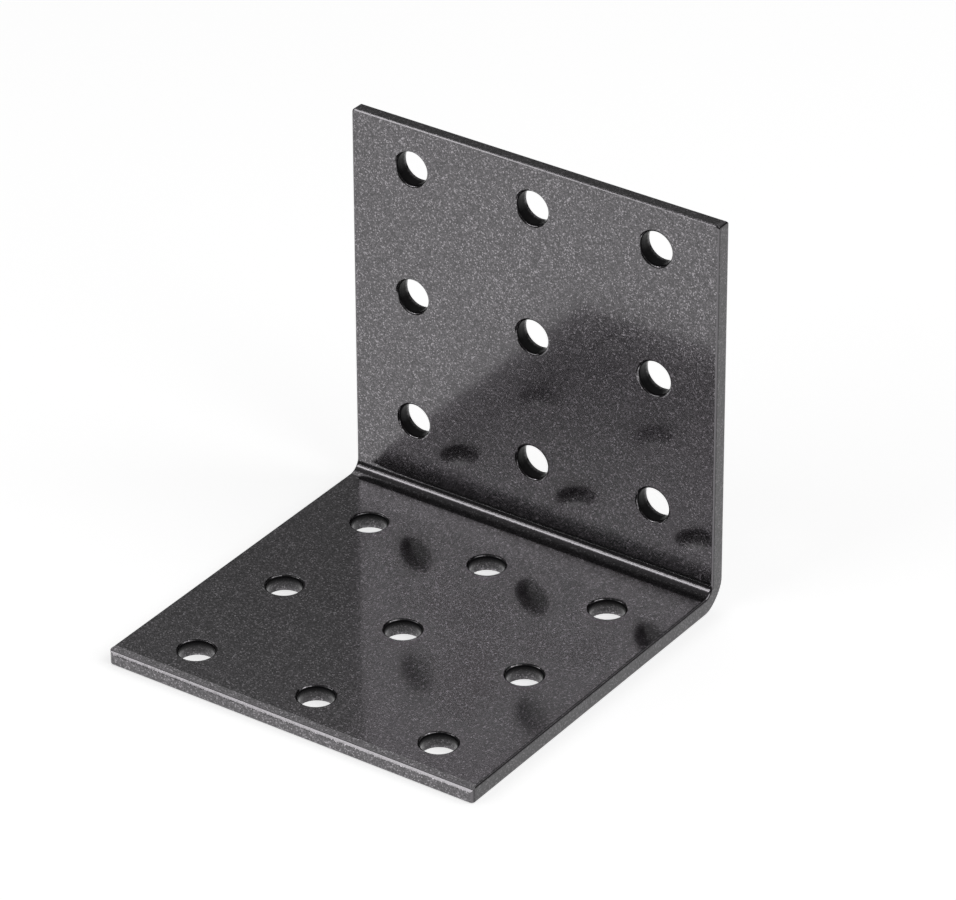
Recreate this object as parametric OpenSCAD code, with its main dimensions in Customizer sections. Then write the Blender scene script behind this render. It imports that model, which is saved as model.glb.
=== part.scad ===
// Corner brace bracket: one square of steel sheet, punched with a grid of holes on each leg and folded once.
// The base lies flat with its free edge toward -Y, and the upright stands along +Y, with the fold between them.

/* [Sheet] */
// Width along the fold
width = 60; // [30:1:120]
// Length of the base, from the outside of the upright to the free edge
base_length = 60; // [30:1:120]
// Height of the upright, from the underside of the base to the free edge
upright_height = 60; // [30:1:120]
// Thickness of the coated sheet
sheet = 2.5; // [2:0.1:4]
// Radius inside the fold
fold_radius = 1.8; // [0.5:0.1:3]
// Radius outside the fold, where the sheet was drawn thinner as it bent
heel_radius = 5.4; // [4:0.1:6.5]

/* [Holes] */
// Diameter of the smooth band inside each hole
hole_diameter = 5; // [3:0.1:6]
// Spacing of the holes along the fold
column_spacing = 20; // [12:0.5:30]
// Spacing of the holes along each leg
row_spacing = 20; // [12:0.5:30]
// Distance from the outside of the other leg to the first row of holes
first_row = 13.5; // [12:0.5:20]
// Least distance from the centre of a hole to a free edge
edge_distance = 6; // [5.5:0.5:10]
// Radius of the rim on the inner face, where the punch went in
rim_radius = 0.45; // [0.2:0.05:0.6]
// Depth from the inner face to the end of the smooth band
band_depth = 0.9; // [0.8:0.1:1.5]
// Growth in radius from the band to the outer face, where the metal broke away
break_flare = 0.15; // [0.05:0.05:0.3]

/* [Cut edges] */
// Radius along the cut edges, on both faces
cut_radius = 0.35; // [0.1:0.05:0.45]
// Radius of the corners of the sheet in plan
corner_radius = 0.6; // [0.5:0.1:0.8]
// Width of the strip at the free end of a leg that the shears rolled over
roll_width = 1.2; // [0.9:0.1:1.2]
// Radius of the rolled strip
roll_radius = 1.4; // [1.3:0.1:2.5]
// Radius between the rolled strip and the cut
edge_radius = 0.45; // [0.3:0.05:0.6]

/* [Hidden] */
$fn = 96;
// Planes that only trim run past the sheet by this much
clear = 1;
half_width = width / 2;
heel = base_length / 2;
fold_outer = fold_radius + sheet;
hole_radius = hole_diameter / 2;
columns = hole_count(width - 2 * edge_distance, column_spacing);
base_rows = hole_count(base_length - first_row - edge_distance, row_spacing);
upright_rows = hole_count(upright_height - first_row - edge_distance, row_spacing);
// The rim's arc ends this far past the inner face, so that it crosses the face
rim_rise = 0.01;
rim_centre = sheet + rim_rise - rim_radius;
break_slope = break_flare / (sheet - band_depth);
// The arc of the rolled strip and the smaller arc at the cut edge meet where they share a tangent
edge_centre = sheet - roll_radius + sqrt(pow(roll_radius - edge_radius, 2) - pow(roll_width - edge_radius, 2));
meet_angle = acos((roll_width - edge_radius) / (roll_radius - edge_radius));
meet_out = roll_radius * cos(meet_angle);
meet_up = sheet - roll_radius + roll_radius * sin(meet_angle);

// Holes that fit along a length, one spacing apart
function hole_count(length, spacing) = floor(length / spacing) + 1;

// Section of a plain cut edge, as deep as the corners: x runs out to the cut, y up from the outer face
module edge_section() {
    intersection() {
        union() {
            polygon([
                [0, 0], [corner_radius - cut_radius, 0], [corner_radius, cut_radius],
                [corner_radius, sheet - cut_radius], [corner_radius - cut_radius, sheet], [0, sheet]
            ]);
            for (height = [cut_radius, sheet - cut_radius])
                translate([corner_radius - cut_radius, height])
                    circle(cut_radius);
        }
        translate([0, -clear])
            square([corner_radius + clear, sheet + 2 * clear]);
    }
}

// Section of the whole sheet across its width, with a cut edge at each side
module sheet_section() {
    for (flip = [0, 1])
        mirror([flip, 0]) {
            square([half_width - corner_radius, sheet]);
            translate([half_width - corner_radius, 0])
                edge_section();
        }
}

// Section along a leg, with the strip at its free end rolled over toward the top: x runs from the fold
module rolled_section(length) {
    square([length - roll_width, sheet]);
    translate([length - roll_width, 0]) {
        polygon([[0, 0], [roll_width, 0], [roll_width, edge_centre], [meet_out, meet_up], [0, sheet]]);
        translate([roll_width - edge_radius, edge_centre])
            circle(edge_radius);
        intersection() {
            translate([0, sheet - roll_radius])
                circle(roll_radius);
            translate([0, meet_up])
                square([meet_out, sheet]);
        }
    }
}

// Flat part of a leg, with its free end rolled over toward the top: y runs from the fold
module leg(length) {
    side = half_width - corner_radius;
    end = length - corner_radius;
    intersection() {
        union() {
            translate([0, end, 0])
                rotate([90, 0, 0])
                    linear_extrude(end)
                        sheet_section();
            translate([-side, end, 0])
                rotate([90, 0, 90])
                    linear_extrude(2 * side)
                        edge_section();
            for (flip = [0, 1])
                mirror([flip, 0, 0])
                    translate([side, end, 0])
                        rotate_extrude(angle = 90)
                            edge_section();
        }
        translate([-half_width - clear, 0, 0])
            rotate([90, 0, 90])
                linear_extrude(width + 2 * clear)
                    rolled_section(length);
    }
}

// Quarter turn of the sheet, about an axis that lies inside the fold
module fold() {
    translate([0, heel - fold_outer, fold_outer])
        rotate([0, 90, 0])
            rotate_extrude(angle = 90)
                translate([fold_outer, 0])
                    rotate(90)
                        sheet_section();
}

// What the outside of the fold lost as the sheet was drawn round it
module drawn_off() {
    translate([-half_width - clear, heel, 0])
        rotate([90, 0, 90])
            linear_extrude(width + 2 * clear)
                difference() {
                    translate([-heel_radius, -clear])
                        square(heel_radius + clear);
                    translate([-heel_radius, heel_radius])
                        circle(heel_radius);
                }
}

// Shape that one punched hole takes out: a round rim, a smooth band and a break that widens below it
module punch() {
    rotate_extrude()
        difference() {
            polygon([
                [0, -clear], [hole_radius + break_flare + break_slope * clear, -clear],
                [hole_radius, sheet - band_depth], [hole_radius, rim_centre],
                [hole_radius + rim_radius, rim_centre], [hole_radius + rim_radius, sheet + clear],
                [0, sheet + clear]
            ]);
            translate([hole_radius + rim_radius, rim_centre])
                circle(rim_radius);
        }
}

// Grid of holes of one leg, with the rows running away from the fold along y
module hole_grid(rows) {
    for (row = [0 : rows - 1], column = [0 : columns - 1])
        translate([(column - (columns - 1) / 2) * column_spacing, first_row + row * row_spacing, 0])
            punch();
}

// The whole bracket: two legs and the fold between them, less the holes
module bracket() {
    color("dimgray")
        difference() {
            union() {
                translate([0, heel - fold_outer, 0])
                    mirror([0, 1, 0])
                        leg(base_length - fold_outer);
                fold();
                translate([0, heel - sheet, fold_outer])
                    rotate([90, 0, 180])
                        leg(upright_height - fold_outer);
            }
            drawn_off();
            translate([0, heel, 0])
                mirror([0, 1, 0])
                    hole_grid(base_rows);
            translate([0, heel, 0])
                rotate([90, 0, 0])
                    hole_grid(upright_rows);
        }
}

bracket();
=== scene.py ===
import math

import bpy
from mathutils import Matrix, Vector

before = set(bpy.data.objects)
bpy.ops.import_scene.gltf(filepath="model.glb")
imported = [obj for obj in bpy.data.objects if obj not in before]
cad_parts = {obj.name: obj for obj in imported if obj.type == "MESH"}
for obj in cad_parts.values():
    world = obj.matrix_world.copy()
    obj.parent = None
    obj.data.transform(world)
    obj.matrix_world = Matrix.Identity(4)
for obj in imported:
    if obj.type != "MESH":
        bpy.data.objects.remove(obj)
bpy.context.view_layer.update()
scene = bpy.context.scene
scene.view_settings.view_transform = "Standard"

# Camera, in the photograph's frame of 956 x 900
CAMERA_AZIMUTH = 34.94
CAMERA_ELEVATION = 30.84
CAMERA_ROLL = 0.285
CAMERA_DISTANCE = 0.8110
CAMERA_AIM = Vector((0.0066, 0.00506, 0.02883))
LENS_MM = 227.86
SENSOR_MM = 36.0
CLIP_START = 0.01
CLIP_END = 50

# Floor, a hair below the bracket so that the two faces don't coincide
FLOOR_SIZE = 6.0
FLOOR_DROP = 0.00002
FLOOR_COLOUR = (0.70, 0.70, 0.70, 1)
FLOOR_GLOW = 0.67
FLOOR_ROUGHNESS = 0.9
FLOOR_SPECULAR = 0.1

# Lights by azimuth, elevation, distance from the focus, width, height and radiance
FOCUS = Vector((0, 0, 0.02))
LIGHTS = {
    "key": (-38, 34.5, 0.9, 0.74, 0.165, 3.6),
    "fill": (95, 45, 1.0, 0.9, 0.7, 1.8),
}
# Glows in the room by azimuth, elevation, half angles where each starts and is full, and strength
GLOWS = [
    (-132, 54, 24, 12, 0.65),
    (-146, 27, 17, 8, 0.10),
    (168, 38, 38, 18, 0.22),
]
# Room light away from the glows: its strengths low down and overhead, and where one becomes the other
ROOM_LOW = 0.05
ROOM_HIGH = 0.15
ROOM_LOW_ELEVATION = 24
ROOM_HIGH_ELEVATION = 48

# Coat: metal flakes at slightly different angles under a clear film
FLAKES_PER_METRE = 6000
FLAKE_TILT = 0.04
FLAKE_ROUGHNESS = 0.18
FLAKE_SPECULAR = 0.1
FLAKE_COLOURS = [
    (0.0, (0.050, 0.0472, 0.0505, 1)),
    (0.55, (0.098, 0.0930, 0.099, 1)),
    (0.85, (0.160, 0.151, 0.161, 1)),
    (1.0, (0.375, 0.355, 0.377, 1)),
]
FILM_ROUGHNESS = 0.08
FILM_IOR = 1.5
# Even colour where the coat flowed smooth on curves, and how square to its axis a face is where flakes show
SMOOTH_COLOUR = (0.126, 0.119, 0.127, 1)
CURVED = 0.90
FLAT = 0.99
CURVED_UP = 0.79
FLAT_UP = 0.87

# The bracket: thickness of its sheet, its height, and the outer face of its upright
SHEET = 0.0025
HEIGHT = 0.060
HEEL = 0.030
UPRIGHT_FACE = HEEL - SHEET - 0.0003
# Grid of the holes, with the first row at the same distance from the heel in both legs
HOLE_SPACING = 0.020
FIRST_ROW = 0.0135
# Distances from a hole's axis between which its wall ends, and between which what lies round it ends
WALL_START = 0.00256
WALL_END = 0.00264
AROUND_START = 0.0029
AROUND_END = 0.0030
# Painted dark shade on the wall at the top of the base's holes, with the heights between which it fades out
# downward
WALL_SHADE_START = 0.0010
WALL_SHADE_FULL = 0.0021
WALL_SHADE_COLOUR = (0.006, 0.0055, 0.0065, 1)
WALL_ROUGHNESS = 0.5
WALL_SHADE_FILM = 0.05
# Painted shade on the cut sides of the sheet and on the walls of the holes: how far a side faces along X,
# how much of the colour stays, and what stays of the coat
SIDE_START = 0.7
SIDE_FULL = 0.95
SIDE_SHADE = 0.40
SIDE_SHADE_FILM = 0.6

# Slight curve of the upright just above the fold: heights where it starts and ends, and lean at the start
CURVE_FOOT = 0.0040
CURVE_HEAD = 0.0085
CURVE_LEAN = 0.08
# Sheared edges: turn of the surface from the top toward the front, in right angles, before and after wear
RIGHT_ANGLE = math.pi / 2
FRONT_EDGE = 0.0014 - HEEL
TOP_EDGE = HEIGHT - 0.0010
TURN_START = 0.001
TURN_END = 0.999
FRONT_TURN = [(0, 0), (0.06, 0.10), (0.43, 0.17), (0.48, 0.555), (0.92, 0.585), (0.98, 1)]
TOP_TURN = [(0, 0), (0.16, 0.02), (0.30, 0.56), (0.74, 0.59), (0.84, 0.90), (1, 1)]


def direction(azimuth, elevation):
    """Unit vector toward a place around the object, with azimuth 0 in front, at -Y, and 90 at +X."""
    azimuth, elevation = math.radians(azimuth), math.radians(elevation)
    return Vector((
        math.sin(azimuth) * math.cos(elevation),
        -math.cos(azimuth) * math.cos(elevation),
        math.sin(elevation),
    ))


def facing(toward):
    """Turn that points an object's own -Z back along a direction."""
    return toward.to_track_quat("Z", "Y").to_matrix().to_4x4()


def number(tree, operation, *values):
    """Math node on sockets or plain numbers; gives its output."""
    node = tree.nodes.new("ShaderNodeMath")
    node.operation = operation
    for socket, value in zip(node.inputs, values):
        if isinstance(value, (int, float)):
            socket.default_value = value
        else:
            tree.links.new(value, socket)
    return node.outputs[0]


def vector(tree, operation, first, second=None, scale=None):
    """Vector math node on sockets or plain vectors; gives its output."""
    node = tree.nodes.new("ShaderNodeVectorMath")
    node.operation = operation
    for index, value in enumerate((first, second)):
        if isinstance(value, tuple):
            node.inputs[index].default_value = value
        elif value is not None:
            tree.links.new(value, node.inputs[index])
    if isinstance(scale, float):
        node.inputs["Scale"].default_value = scale
    elif scale is not None:
        tree.links.new(scale, node.inputs["Scale"])
    return node.outputs["Value" if operation == "DOT_PRODUCT" else "Vector"]


def separated(tree, socket):
    """The three parts of a vector."""
    node = tree.nodes.new("ShaderNodeSeparateXYZ")
    tree.links.new(socket, node.inputs[0])
    return node.outputs["X"], node.outputs["Y"], node.outputs["Z"]


def combined(tree, **parts):
    """Vector made of the parts that are given, each by its axis, with zero for the rest."""
    node = tree.nodes.new("ShaderNodeCombineXYZ")
    for axis, value in parts.items():
        tree.links.new(value, node.inputs[axis.upper()])
    return node.outputs[0]


def ramped(tree, value, low, high, at_low, at_high):
    """Smooth step of a value from one level to another."""
    node = tree.nodes.new("ShaderNodeMapRange")
    node.interpolation_type = "SMOOTHSTEP"
    for name, level in (("From Min", low), ("From Max", high), ("To Min", at_low), ("To Max", at_high)):
        node.inputs[name].default_value = level
    tree.links.new(value, node.inputs["Value"])
    return node.outputs["Result"]


def mixed(tree, share, first, second):
    """Mix of two colours, each a socket or a plain colour."""
    node = tree.nodes.new("ShaderNodeMix")
    node.data_type = "RGBA"
    tree.links.new(share, node.inputs["Factor"])
    for name, value in (("A", first), ("B", second)):
        if isinstance(value, tuple):
            node.inputs[name].default_value = value
        else:
            tree.links.new(value, node.inputs[name])
    return node.outputs["Result"]


def colour_ramp(tree, value, points):
    """Colour of a value from 0 to 1, straight from one point to the next."""
    node = tree.nodes.new("ShaderNodeValToRGB")
    stops = node.color_ramp.elements
    while len(stops) < len(points):
        stops.new(0.5)
    for stop, (position, colour) in zip(stops, points):
        stop.position = position
        stop.color = colour
    tree.links.new(value, node.inputs["Fac"])
    return node.outputs["Color"]


def add_camera():
    data = bpy.data.cameras.new("camera")
    data.lens = LENS_MM
    data.sensor_width = SENSOR_MM
    data.clip_start = CLIP_START
    data.clip_end = CLIP_END
    camera = bpy.data.objects.new("camera", data)
    scene.collection.objects.link(camera)
    back = direction(CAMERA_AZIMUTH, CAMERA_ELEVATION)
    turn = facing(back) @ Matrix.Rotation(-math.radians(CAMERA_ROLL), 4, "Z")
    camera.matrix_world = Matrix.Translation(CAMERA_AIM + back * CAMERA_DISTANCE) @ turn
    scene.camera = camera


def add_light(name, azimuth, elevation, distance, width, height, radiance):
    data = bpy.data.lights.new(name, "AREA")
    data.shape = "RECTANGLE"
    data.size = width
    data.size_y = height
    data.energy = radiance * math.pi * width * height
    lamp = bpy.data.objects.new(name, data)
    scene.collection.objects.link(lamp)
    toward = direction(azimuth, elevation)
    lamp.matrix_world = Matrix.Translation(FOCUS + toward * distance) @ facing(toward)


def add_room():
    """World that is dim low down and brighter overhead, with soft glows."""
    scene.world = bpy.data.worlds.new("room")
    scene.world.use_nodes = True
    tree = scene.world.node_tree
    background = tree.nodes["Background"]
    background.inputs["Color"].default_value = (1, 1, 1, 1)
    place = tree.nodes.new("ShaderNodeTexCoord").outputs["Generated"]
    height = separated(tree, place)[2]
    low, high = (math.sin(math.radians(angle)) for angle in (ROOM_LOW_ELEVATION, ROOM_HIGH_ELEVATION))
    strength = ramped(tree, height, low, high, ROOM_LOW, ROOM_HIGH)
    for azimuth, elevation, start, full, peak in GLOWS:
        nearness = vector(tree, "DOT_PRODUCT", place, tuple(direction(azimuth, elevation)))
        low, high = (math.cos(math.radians(angle)) for angle in (start, full))
        strength = number(tree, "ADD", strength, ramped(tree, nearness, low, high, 0, peak))
    tree.links.new(strength, background.inputs["Strength"])


def floor_material():
    """Pale and opaque from above, and see-through from below, so that the underside of the bracket shows."""
    material = bpy.data.materials.new("floor")
    material.use_nodes = True
    tree = material.node_tree
    shader = tree.nodes["Principled BSDF"]
    shader.inputs["Base Color"].default_value = FLOOR_COLOUR
    shader.inputs["Roughness"].default_value = FLOOR_ROUGHNESS
    shader.inputs["Specular IOR Level"].default_value = FLOOR_SPECULAR
    shader.inputs["Emission Color"].default_value = (1, 1, 1, 1)
    path = tree.nodes.new("ShaderNodeLightPath").outputs
    seen = number(tree, "MAXIMUM", path["Is Camera Ray"], path["Is Glossy Ray"])
    seen = number(tree, "MAXIMUM", seen, path["Is Transmission Ray"])
    tree.links.new(number(tree, "MULTIPLY", seen, FLOOR_GLOW), shader.inputs["Emission Strength"])
    below = tree.nodes.new("ShaderNodeNewGeometry").outputs["Backfacing"]
    clear = tree.nodes.new("ShaderNodeBsdfTransparent").outputs[0]
    sides = tree.nodes.new("ShaderNodeMixShader")
    for socket, value in zip(sides.inputs, (below, shader.outputs[0], clear)):
        tree.links.new(value, socket)
    tree.links.new(sides.outputs[0], tree.nodes["Material Output"].inputs["Surface"])
    return material


def add_floor():
    bpy.ops.mesh.primitive_plane_add(size=FLOOR_SIZE, location=(0, 0, -FLOOR_DROP))
    floor = bpy.context.object
    floor.name = "floor"
    floor.data.materials.append(floor_material())


def hole_masks(tree, place):
    """Masks of the painted shade on the hole walls, of all the walls, and of all that lies round the holes.

    The painted shade covers the top of each hole in the base and the whole of each hole in the upright.
    """
    x, y, z = place
    half = HOLE_SPACING / 2
    on_upright = number(tree, "GREATER_THAN", y, UPRIGHT_FACE)
    along = number(tree, "WRAP", x, half, -half)
    in_base = number(tree, "WRAP", number(tree, "SUBTRACT", y, HEEL - FIRST_ROW), half, -half)
    in_upright = number(tree, "WRAP", number(tree, "SUBTRACT", z, FIRST_ROW), half, -half)
    step = number(tree, "SUBTRACT", in_upright, in_base)
    across = number(tree, "MULTIPLY_ADD", on_upright, step, in_base)
    square = number(tree, "MULTIPLY", across, across)
    reach = number(tree, "SQRT", number(tree, "MULTIPLY_ADD", along, along, square))
    wall = ramped(tree, reach, WALL_START, WALL_END, 1, 0)
    around = ramped(tree, reach, AROUND_START, AROUND_END, 1, 0)
    # Painted shade: the whole wall of each hole in the upright, and the base's hole walls toward their top
    shaded_wall = number(tree, "MAXIMUM", on_upright, ramped(tree, z, WALL_SHADE_START, WALL_SHADE_FULL, 0, 1))
    return number(tree, "MULTIPLY", wall, shaded_wall), wall, around


def flake_mask(tree, normal_axes, around):
    """Where single flakes show: round the holes, on flat faces and on the gentler curves that face up."""
    sizes = [number(tree, "ABSOLUTE", axis) for axis in normal_axes]
    level = ramped(tree, sizes[2], CURVED_UP, FLAT_UP, 0, 1)
    upright = ramped(tree, number(tree, "MAXIMUM", sizes[0], sizes[1]), CURVED, FLAT, 0, 1)
    return number(tree, "MAXIMUM", around, number(tree, "MAXIMUM", level, upright))


def flake_colour(tree, flakes, shown, side_shade, shaded_wall):
    """Colour of the flakes: bright ones where they show, dimmed by painted shade on the cut sides and hole
    walls, and painted dark shade on parts of the hole walls.
    """
    split = tree.nodes.new("ShaderNodeSeparateColor")
    tree.links.new(flakes, split.inputs["Color"])
    speckled = colour_ramp(tree, split.outputs["Red"], FLAKE_COLOURS)
    colour = mixed(tree, shown, SMOOTH_COLOUR, speckled)
    # Painted shade: colour scaled down on the cut sides along X and on the hole walls
    share = number(tree, "MULTIPLY_ADD", side_shade, SIDE_SHADE - 1, 1)
    return mixed(tree, shaded_wall, vector(tree, "SCALE", colour, scale=share), WALL_SHADE_COLOUR)


def worn_edges(tree, normal, normal_axes, place):
    """Normal with the wear of the sheared edges at the front of the base and the top of the upright."""
    x, y, z = normal_axes
    turn = number(tree, "ARCTAN2", number(tree, "MULTIPLY", y, -1), z)
    turn = number(tree, "DIVIDE", turn, RIGHT_ANGLE)
    spread = number(tree, "SQRT", number(tree, "MULTIPLY_ADD", x, number(tree, "MULTIPLY", x, -1), 1))
    past_start = number(tree, "GREATER_THAN", turn, TURN_START)
    in_range = number(tree, "MULTIPLY", past_start, number(tree, "LESS_THAN", turn, TURN_END))
    at_front = number(tree, "LESS_THAN", place[1], FRONT_EDGE)
    at_top = number(tree, "GREATER_THAN", place[2], TOP_EDGE)
    for zone, points in ((at_front, FRONT_TURN), (at_top, TOP_TURN)):
        levels = [(position, (level, level, level, 1)) for position, level in points]
        worn = number(tree, "MULTIPLY", colour_ramp(tree, turn, levels), RIGHT_ANGLE)
        forward = number(tree, "MULTIPLY", number(tree, "SINE", worn), number(tree, "MULTIPLY", spread, -1))
        upward = number(tree, "MULTIPLY", number(tree, "COSINE", worn), spread)
        change = vector(tree, "SUBTRACT", combined(tree, x=x, y=forward, z=upward), normal)
        share = number(tree, "MULTIPLY", zone, in_range)
        normal = vector(tree, "ADD", normal, vector(tree, "SCALE", change, scale=share))
    return normal


def curved_foot(tree, normal, normal_axes, place):
    """Normal with the slight curve of the upright just above the fold."""
    forward = number(tree, "MAXIMUM", number(tree, "MULTIPLY", normal_axes[1], -1), 0)
    near_fold = ramped(tree, place[2], CURVE_FOOT, CURVE_HEAD, CURVE_LEAN, 0)
    on_upright = number(tree, "GREATER_THAN", place[1], UPRIGHT_FACE)
    lean = number(tree, "MULTIPLY", number(tree, "MULTIPLY", forward, near_fold), on_upright)
    return vector(tree, "NORMALIZE", vector(tree, "ADD", normal, combined(tree, z=lean)))


def tilted(tree, normal, flakes):
    """Normal turned a little another way on each flake."""
    centred = vector(tree, "SUBTRACT", flakes, (0.5, 0.5, 0.5))
    tilt = vector(tree, "SCALE", centred, scale=FLAKE_TILT)
    return vector(tree, "NORMALIZE", vector(tree, "ADD", normal, tilt))


def coat_material():
    """Clear film over metal flakes, thinned on the cut sides and nearly removed on the hole walls as part of
    the painted shade there.
    """
    material = bpy.data.materials.new("charcoal_coat")
    material.use_nodes = True
    tree = material.node_tree
    spot = tree.nodes.new("ShaderNodeTexCoord").outputs["Object"]
    normal = tree.nodes.new("ShaderNodeNewGeometry").outputs["Normal"]
    place, normal_axes = separated(tree, spot), separated(tree, normal)
    cells = tree.nodes.new("ShaderNodeTexVoronoi")
    cells.inputs["Scale"].default_value = FLAKES_PER_METRE
    tree.links.new(spot, cells.inputs["Vector"])
    flakes = cells.outputs["Color"]

    shaded_wall, wall, around = hole_masks(tree, place)
    # Painted shade on the cut sides along X and on all the hole walls
    side_shade = ramped(tree, number(tree, "ABSOLUTE", normal_axes[0]), SIDE_START, SIDE_FULL, 0, 1)
    side_shade = number(tree, "MAXIMUM", side_shade, wall)
    shown = flake_mask(tree, normal_axes, around)
    smooth = curved_foot(tree, worn_edges(tree, normal, normal_axes, place), normal_axes, place)
    # Film thinned on the cut sides and hole walls, and nearly removed where dark shade is painted on the
    # walls, as part of the painted shade
    film = number(tree, "MULTIPLY_ADD", side_shade, SIDE_SHADE_FILM - 1, 1)
    film_left_by_shade = number(tree, "MULTIPLY_ADD", shaded_wall, WALL_SHADE_FILM - 1, 1)
    finish = {
        "Base Color": flake_colour(tree, flakes, shown, side_shade, shaded_wall),
        "Metallic": number(tree, "SUBTRACT", 1, shaded_wall),
        "Roughness": number(tree, "MULTIPLY_ADD", shaded_wall, WALL_ROUGHNESS - FLAKE_ROUGHNESS, FLAKE_ROUGHNESS),
        "Normal": tilted(tree, smooth, flakes),
        "Coat Normal": smooth,
        "Coat Weight": number(tree, "MULTIPLY", film, film_left_by_shade),
    }
    shader = tree.nodes["Principled BSDF"]
    for name, socket in finish.items():
        tree.links.new(socket, shader.inputs[name])
    shader.inputs["Specular IOR Level"].default_value = FLAKE_SPECULAR
    shader.inputs["Coat Roughness"].default_value = FILM_ROUGHNESS
    shader.inputs["Coat IOR"].default_value = FILM_IOR
    return material


def dress_bracket():
    coat = coat_material()
    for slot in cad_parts["bracket"].material_slots:
        slot.material = coat


add_camera()
add_floor()
add_room()
for light_name, place_and_power in LIGHTS.items():
    add_light(light_name, *place_and_power)
dress_bracket()
